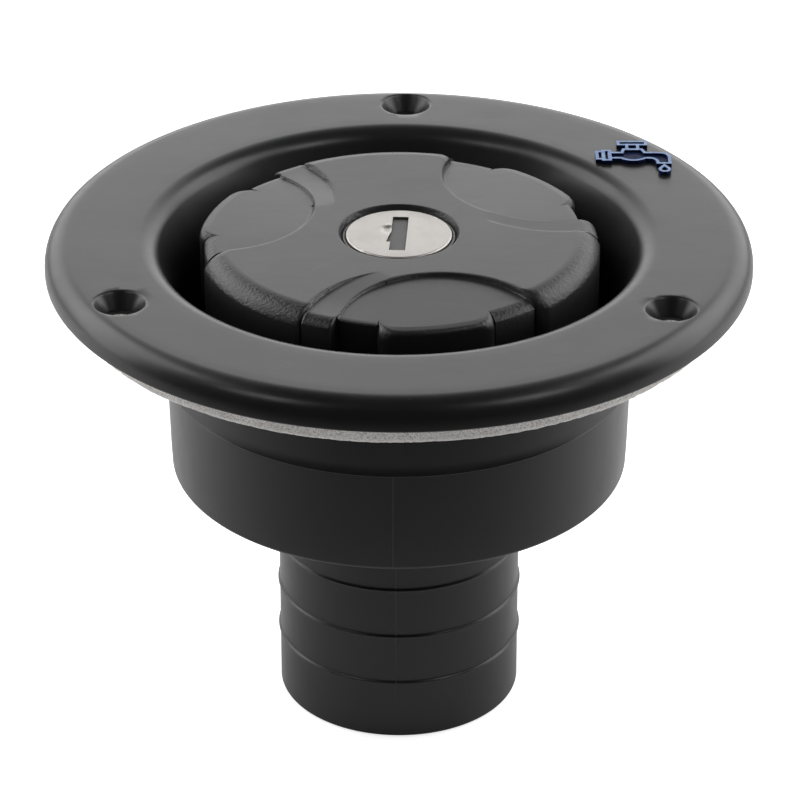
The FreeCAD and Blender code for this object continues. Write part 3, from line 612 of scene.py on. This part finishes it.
def build_gasket(material):
    """Foam ring under the flange, with fine columns so that its torn edge is real shape."""
    edge_r = GASKET_R - GASKET_EDGE
    outline = [(GASKET_INNER_R, 0.0)]
    outline += [(r, 0.0) for r in rows_between(GASKET_INNER_R, edge_r, 26)]
    outline += [(edge_r, 0.02), (GASKET_R - 0.3 * GASKET_EDGE, 0.35 * GASKET_EDGE), (GASKET_R, GASKET_EDGE)]
    outline += [(GASKET_R, z) for z in rows_between(GASKET_EDGE, PLATE_UNDER, 14)]
    outline += [(GASKET_R, PLATE_UNDER), (GASKET_INNER_R, PLATE_UNDER)]
    outline += [(GASKET_INNER_R, z) for z in rows_between(PLATE_UNDER, 0.0, 6)]
    bm = bmesh.new()
    lathe(bm, outline, even_angles(900), foam_point)
    gasket = new_object("foam_gasket_ring", bm, 80.0)
    cut_with(gasket, [gasket_cutter(angle) for angle in SCREW_ANGLES])
    fit(gasket, material, "housing", "foam_gasket")


# ---- cap shell -----------------------------------------------------------------------------------
# The cap repeats three times. Going round, each third has a ramp that ends at a notch, a grip bumper
# in front of its lobe, a shoulder, and the main sector up to the next ramp. Angles are in degrees,
# those of the front lobe.
RAMP_START = 241.5
RAMP_END = 251.0
BUMPER = (263.7, 298.7)
SHOULDER_END = 313.0
NOTCH_R = 29.75
SHOULDER_R = 31.3
MAIN_START_R = 30.0
SECTOR_END = 4.2
# A lobe or a ramp lies inside an arc: the radius and the angle of its centre, and its own radius.
LOBE_ARC = (31.6, 282.1, 16.25)
RAMP_ARC = (32.8, 277.9, 19.8)
# The lobe's face is a shallow cone, sunk a little at the axis and more towards the rim.
LOBE_AXIS_DEPTH = 0.08
LOBE_FALL = 0.035
# The ramp starts level at a point on the top face, and is at its full depth before the rim.
RAMP_FADE = (14.5, 258.1)
RAMP_FULL = 0.8
RAMP_DEPTH = 0.7
STEP_WIDTH = 0.3
STEP_BEAD = 0.06
CAP_ROWS = 170


def third_angle(angle):
    """The same angle as measured in the front lobe's third of the cap."""
    return (angle - RAMP_START + 20.0) % 120.0 + RAMP_START - 20.0


def end_loss(loss, distance, width):
    """Radius that is lost where a sector ends, along a quarter circle of a given width."""
    t = min(1.0, max(0.0, distance / width))
    return loss * (1.0 - math.sqrt(1.0 - (1.0 - t) ** 2))


def rim_radius(angle):
    """Outer radius of the cap at an angle."""
    a = third_angle(angle)
    if a < RAMP_START:
        return CAP_R - end_loss(0.9, RAMP_START - a, 1.3)
    if a < RAMP_END:
        return CAP_R - 0.25 - end_loss(1.0, RAMP_END - a, 0.9) - end_loss(0.5, a - RAMP_START, 0.5)
    if a < BUMPER[0]:
        return NOTCH_R + 0.05 * (a - RAMP_END)
    if a < BUMPER[1]:
        low = NOTCH_R + 0.6 if a < sum(BUMPER) / 2 else SHOULDER_R - 0.6
        return CAP_R - end_loss(CAP_R - low, min(a - BUMPER[0], BUMPER[1] - a), SECTOR_END)
    if a < SHOULDER_END:
        return SHOULDER_R - end_loss(0.4, SHOULDER_END - a, 0.8)
    return CAP_R - end_loss(CAP_R - MAIN_START_R, a - SHOULDER_END, SECTOR_END)


def rim_shape(angle):
    """How the top meets the side: a band's width and slope, then a rounding's radius and last slope."""
    a = third_angle(angle)
    if RAMP_START <= a < RAMP_END:
        return 0.2, 3.0, 2.4, 62.0
    if RAMP_END <= a < BUMPER[0]:
        return 0.5, 6.0, 0.35, 90.0
    if BUMPER[0] <= a < BUMPER[1]:
        middle = soft_step(2.5, 8.5, min(a - BUMPER[0], BUMPER[1] - a))
        return 0.1 + 0.8 * middle, 7.0 * middle, 2.5 - 1.7 * middle, 90.0
    if BUMPER[1] <= a < SHOULDER_END:
        return 0.1, 3.0, 3.2, 50.0
    return 0.1, 0.0, 4.2, 66.0


def past_arc(x, y, outline):
    """Distance outside an arc, negative inside it."""
    centre_x, centre_y = polar(outline[0], outline[1])
    return math.hypot(x - centre_x, y - centre_y) - outline[2]


def below_step(distance):
    """1 on the low side of a step and 0 on the high side, with a softly rounded upper edge."""
    return 1.0 - 0.86 * soft_step(0.0, STEP_WIDTH, distance) - 0.14 * soft_step(0.1, 1.0, distance)


def step_bead(distance):
    """Fine raised line along the foot of a step, on its low side."""
    return STEP_BEAD * math.exp(-(((distance + 0.36) / 0.13) ** 2))


def ramp_share(x, y):
    """0 where the ramp is level with the top face, growing to 1 before the rim."""
    fade_x, fade_y = polar(*RAMP_FADE)
    rim_x, rim_y = polar(CAP_R, RAMP_START)
    run_x, run_y = rim_x - fade_x, rim_y - fade_y
    along = ((x - fade_x) * run_x + (y - fade_y) * run_y) / (run_x ** 2 + run_y ** 2)
    return math.sin(math.pi / 2 * min(1.0, max(0.0, along / RAMP_FULL))) ** 1.3


def top_height(radius, angle):
    """Height of the cap's top face: flat, with a sunk lobe and a ramp beside it, three times."""
    x, y = polar(radius, third_angle(angle))
    past_lobe = past_arc(x, y, LOBE_ARC)
    past_ramp = past_arc(x, y, RAMP_ARC)
    share = ramp_share(x, y)
    ramp = share * (below_step(past_ramp) * RAMP_DEPTH - step_bead(past_ramp))
    lobe_depth = LOBE_AXIS_DEPTH + LOBE_FALL * radius
    lobe = below_step(past_lobe) * lobe_depth - (1.0 - share) * step_bead(past_lobe)
    return CAP_TOP - max(lobe, ramp)


def skirt_outline(outer):
    """Points (radius, height) down the cap's side, under its skirt and in to the lock's hole."""
    outline = [(outer, z) for z in (3.0, 0.5, -2.0, SKIRT_BOTTOM + 0.5)]
    outline += [(outer - 0.15, SKIRT_BOTTOM + 0.12), (outer - 0.5, SKIRT_BOTTOM)]
    outline += [(SKIRT_INNER_R + EDGE_ROUND, SKIRT_BOTTOM), (SKIRT_INNER_R, SKIRT_BOTTOM + EDGE_ROUND)]
    outline += [(SKIRT_INNER_R, z) for z in (-2.0, 1.5, CAP_UNDER - SKIRT_CORNER)]
    outline += arc((SKIRT_INNER_R - SKIRT_CORNER, CAP_UNDER - SKIRT_CORNER), SKIRT_CORNER, 0, 90, 4)[1:]
    outline += [(r, CAP_UNDER) for r in (22.0, 16.0, 12.0)]
    return outline


def cap_outline(angle):
    """Closed outline (radius, height) of the cap at one angle, from the lock's hole over the top."""
    outer = rim_radius(angle)
    band, slope, rounding, last_slope = rim_shape(angle)
    start, end = math.radians(slope), math.radians(last_slope)
    band_edge = outer - rounding * (math.sin(end) - math.sin(start))
    flat_edge = band_edge - band
    edge_z = CAP_TOP - LOCK_EDGE_ROUND
    outline = [(LOCK_HOLE_R, CAP_UNDER), (LOCK_HOLE_R, LOCK_RECESS_Z)]
    outline += [(LOCK_EDGE_R - LOCK_EDGE_ROUND, edge_z)]
    outline += arc((LOCK_EDGE_R, edge_z), LOCK_EDGE_ROUND, 155, 90, 3)
    for step in range(1, CAP_ROWS + 1):
        radius = LOCK_EDGE_R + (flat_edge - LOCK_EDGE_R) * step / CAP_ROWS
        outline.append((radius, top_height(radius, angle)))
    rim_z = outline[-1][1]
    drop = band * math.tan(start)
    outline += [(flat_edge + share * band, rim_z - share * drop) for share in (0.12, 0.3, 0.6)]
    for step in range(11):
        turn = start + (end - start) * step / 10
        radius = band_edge + rounding * (math.sin(turn) - math.sin(start))
        outline.append((radius, rim_z - drop - rounding * (math.cos(start) - math.cos(turn))))
    return outline + skirt_outline(outer)


def cap_angles():
    """Even directions round the cap, with close ones where the rim steps in or out."""
    edges = (RAMP_START, RAMP_END, *BUMPER, SHOULDER_END)
    close = (-0.35, -0.2, -0.1, -0.02, 0.02, 0.1, 0.2, 0.35, 0.55, 0.8)
    angles = []
    for turn in (0.0, 120.0, 240.0):
        marks = [edge + turn for edge in edges]
        angles += [mark + step for mark in marks for step in close]
        even = [RAMP_START + turn + 0.36 * k for k in range(-56, 278)]
        angles += [a for a in even if all(not -0.4 < a - mark < 0.85 for mark in marks)]
    return sorted(a % 360.0 for a in angles)


def build_cap_shell(material):
    """Cap with its lobes and ramps, column by column."""
    bm = bmesh.new()
    columns = []
    for angle in cap_angles():
        points = [(*polar(radius, angle), z) for radius, z in cap_outline(angle)]
        columns.append([bm.verts.new(point) for point in points])
    skin(bm, columns)
    shell = new_object("cap_shell_moulding", bm, 50.0)
    fit(shell, material, "cap", "cap_shell")


# ---- lock face -----------------------------------------------------------------------------------
def slot_corners():
    """Corners of the key slot, with a small tapered notch in its left side."""
    half_x, half_y = KEY_SLOT[0] / 2, KEY_SLOT[1] / 2
    notch = [(-half_x, 0.9), (-half_x - 0.15, 0.3), (-half_x - 0.62, -3.0), (-half_x, -3.0)]
    return [(half_x, -half_y), (half_x, half_y), (-half_x, half_y), *notch, (-half_x, -half_y)]


def slot_reach(angle):
    """Distance from the axis to the edge of the key slot in one direction."""
    dx, dy = math.cos(angle), math.sin(angle)
    corners = slot_corners()
    reach = 0.0
    for (x0, y0), (x1, y1) in zip(corners, corners[1:] + corners[:1]):
        across = dx * (y1 - y0) - dy * (x1 - x0)
        if abs(across) < 1e-9:
            continue
        share = (x0 * dy - y0 * dx) / across
        if -1e-6 <= share <= 1 + 1e-6:
            reach = max(reach, (x0 * (y1 - y0) - y0 * (x1 - x0)) / across)
    return reach


def face_angles():
    """Directions from the axis: even ones, the slot's corners, and close ones along its long sides."""
    half_x, half_y = KEY_SLOT[0] / 2, KEY_SLOT[1] / 2
    angles = {round(math.radians(3.0 * k), 6) for k in range(120)}
    points = slot_corners()
    points += [(side * half_x, 0.35 * k) for side in (-1, 1) for k in range(-16, 17)]
    points += [(0.25 * k, side * half_y) for side in (-1, 1) for k in range(-5, 6)]
    angles |= {round(math.atan2(y, x) % math.tau, 6) for x, y in points}
    ordered = sorted(angles)
    return [a for a, later in zip(ordered, ordered[1:] + [ordered[0] + math.tau]) if later - a > 0.002]


def face_height(x, y):
    """Pressed steel face: slightly crowned, with a dent beside the notch."""
    dent = math.exp(-(((x + 1.95) / 0.7) ** 2 + ((y - 1.5) / 1.0) ** 2))
    ridge = math.exp(-(((x + 1.8) / 0.55) ** 2 + ((y - 2.75) / 0.4) ** 2))
    crown = FACE_CROWN * (1 - (math.hypot(x, y) / FACE_R) ** 2)
    return FACE_TOP - 0.06 + crown - 0.38 * dent + 0.16 * ridge


def build_lock_face(material):
    """Pressed disc, built as rings from the slot's edge out over the face and back under its rim."""
    angles = face_angles()
    turn = math.radians(KEY_TILT)
    edge_r = FACE_R - FACE_ROUND
    edge_z = face_height(edge_r, 0)
    bm = bmesh.new()

    def add_ring(radii, height):
        ring = []
        for radius, angle in zip(radii, angles):
            x, y = radius * math.cos(angle), radius * math.sin(angle)
            z = height(x, y) if callable(height) else height
            ring.append(bm.verts.new((x * math.cos(turn) - y * math.sin(turn),
                                      x * math.sin(turn) + y * math.cos(turn), z)))
        return ring

    slot = [slot_reach(angle) for angle in angles]
    rings = [add_ring(slot, FACE_UNDER), add_ring(slot, lambda x, y: face_height(x, y) - 0.07)]
    for share in [0.012, 0.035] + [0.035 + 0.965 * k / 26 for k in range(1, 27)]:
        rings.append(add_ring([r + (edge_r - r) * share for r in slot], face_height))
    rim = arc((edge_r, edge_z - FACE_ROUND), FACE_ROUND, 75, 0, 5)
    inner_r = FACE_R - FACE_WALL
    rim += [(FACE_R, FACE_RIM_BOTTOM), (inner_r, FACE_RIM_BOTTOM), (inner_r, FACE_UNDER)]
    for radius, z in rim:
        rings.append(add_ring([radius] * len(angles), z))
    for first, second in zip(rings, rings[1:] + rings[:1]):
        for k in range(len(angles)):
            after = (k + 1) % len(angles)
            bm.faces.new((first[k], first[after], second[after], second[k]))
    face = new_object("lock_face_pressing", bm, 35.0)
    fit(face, material, "plug", "lock_face_cover")


# ---- scene ---------------------------------------------------------------------------------------
CAMERA_AT = (0.00017, -0.6017, 0.3101)
CAMERA_TO = (0.00017, 0.0, -0.0221)
CAMERA_LENS = 188.2
FLOOR_REACH = 3.0


def add_camera():
    """Camera in front, looking a little down."""
    data = bpy.data.cameras.new("camera")
    data.lens = CAMERA_LENS
    data.sensor_width = 36.0
    camera = bpy.data.objects.new("camera", data)
    camera.location = CAMERA_AT
    camera.rotation_euler = (Vector(CAMERA_TO) - Vector(CAMERA_AT)).to_track_quat("-Z", "Y").to_euler()
    bpy.context.scene.collection.objects.link(camera)
    bpy.context.scene.camera = camera


def add_area(name, location, target, size, power):
    """Soft box of a width and a height, turned to a target."""
    data = bpy.data.lights.new(name, "AREA")
    data.shape = "RECTANGLE"
    data.size = size[0]
    data.size_y = size[1]
    data.energy = power
    light = bpy.data.objects.new(name, data)
    light.location = location
    light.rotation_euler = (Vector(target) - Vector(location)).to_track_quat("-Z", "Y").to_euler()
    bpy.context.scene.collection.objects.link(light)


BACK_LIGHT = 2.6
FRONT_LIGHT = 0.08
TOP_LIGHT = 0.12


def add_world():
    """White backdrop behind and beside the object, dark room on the camera's side and overhead."""
    world = bpy.data.worlds.new("studio")
    world.use_nodes = True
    tree = world.node_tree
    tree.nodes.clear()
    place = tree.nodes.new("ShaderNodeTexCoord")
    parts = tree.nodes.new("ShaderNodeSeparateXYZ")
    tree.links.new(place.outputs["Generated"], parts.inputs[0])
    behind = map_range(tree, parts.outputs["Y"], 0.25, 0.8, FRONT_LIGHT, BACK_LIGHT)
    sideways = map_range(tree, parts.outputs["Z"], 0.36, 0.8, 1.0, TOP_LIGHT)
    both = tree.nodes.new("ShaderNodeMath")
    both.operation = "MULTIPLY"
    tree.links.new(behind, both.inputs[0])
    tree.links.new(sideways, both.inputs[1])
    light = tree.nodes.new("ShaderNodeBackground")
    tree.links.new(both.outputs[0], light.inputs["Strength"])
    shown = tree.nodes.new("ShaderNodeBackground")
    shown.inputs["Color"].default_value = rgb(1.0)
    path = tree.nodes.new("ShaderNodeLightPath")
    mix = tree.nodes.new("ShaderNodeMixShader")
    tree.links.new(path.outputs["Is Camera Ray"], mix.inputs[0])
    tree.links.new(light.outputs[0], mix.inputs[1])
    tree.links.new(shown.outputs[0], mix.inputs[2])
    output = tree.nodes.new("ShaderNodeOutputWorld")
    tree.links.new(mix.outputs[0], output.inputs["Surface"])
    bpy.context.scene.world = world


def add_lights():
    """A soft box at each side in front, and a low one at each side that lights the floor."""
    for side, power in ((-1, 0.5), (1, 0.75)):
        add_area("box", (0.47 * side, -0.34, 0.68), (0, 0, 0), (0.22, 0.22), power)
        add_area("low_box", (0.5 * side, 0.12, 0.12), (0.42 * side, 0.12, -0.07), (0.3, 0.7), 1.9)


def add_floor():
    """Plane under the hose tail's end."""
    low = min(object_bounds()[0][2], TAIL_BOTTOM * MM)
    bm = bmesh.new()
    corners = ((-1, -1), (1, -1), (1, 1), (-1, 1))
    bm.faces.new([bm.verts.new((FLOOR_REACH * x, FLOOR_REACH * y, low)) for x, y in corners])
    mesh = bpy.data.meshes.new("floor")
    bm.to_mesh(mesh)
    bm.free()
    mesh.materials.append(floor_white())
    floor = bpy.data.objects.new("floor", mesh)
    bpy.context.scene.collection.objects.link(floor)


def dress_node(frame, node, material):
    """Gives a design piece that stays its own material."""
    obj = frame["nodes"][node]
    obj.data.materials.clear()
    obj.data.materials.append(material)


def main():
    """Builds the visible skins over the design, dresses the inner pieces and sets the scene."""
    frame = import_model()
    bpy.context.scene.view_settings.view_transform = "Standard"

    housing_black = moulded_black("housing_black", 0.014, 0.32, 0.5)
    cap_black = moulded_black("cap_black", 0.018, 0.33, 0.6, 0.9)
    inner_black = moulded_black("inner_black", 0.012, 0.42, 0.4)
    steel = brushed_steel("brushed_steel", rgb(0.5, 0.48, 0.455), 0.46)
    screw_steel = brushed_steel("screw_steel", rgb(0.7, 0.69, 0.67), 0.3, 0.0)
    zinc = cast_metal("cast_zinc", rgb(0.55, 0.55, 0.56), 0.42)
    brass = cast_metal("stamped_brass", rgb(0.78, 0.58, 0.27), 0.35)
    grey = moulded_black("shutter_grey", 0.05, 0.5, 0.4)

    build_housing(housing_black)
    build_gasket(foam_painted_glow())
    build_cap_shell(cap_black)
    build_lock_face(steel)

    finishes = {
        "water_symbol": mark_blue(),
        "bayonet_neck_ring": inner_black,
        "cap_plug": inner_black,
        "bolt_guide_cover": inner_black,
        "cap_seal": soft_rubber(),
        "lock_o_ring": soft_rubber(),
        "lock_sleeve": painted_black(),
        "lock_plug": zinc,
        "lock_nut": zinc,
        "cam_disc": zinc,
        "key_shutter": grey,
        "cap_screws": screw_steel,
        "cover_screws": screw_steel,
        "cam_washer": screw_steel,
        "cam_screw": screw_steel,
        "shutter_pin": screw_steel,
        "shutter_spring": screw_steel,
        "wafer_springs": screw_steel,
        "locking_bolt": steel,
    }
    finishes.update({f"wafer_{number}": brass for number in range(1, 7)})
    for node, material in finishes.items():
        dress_node(frame, node, material)

    add_floor()
    add_world()
    add_lights()
    add_camera()


main()
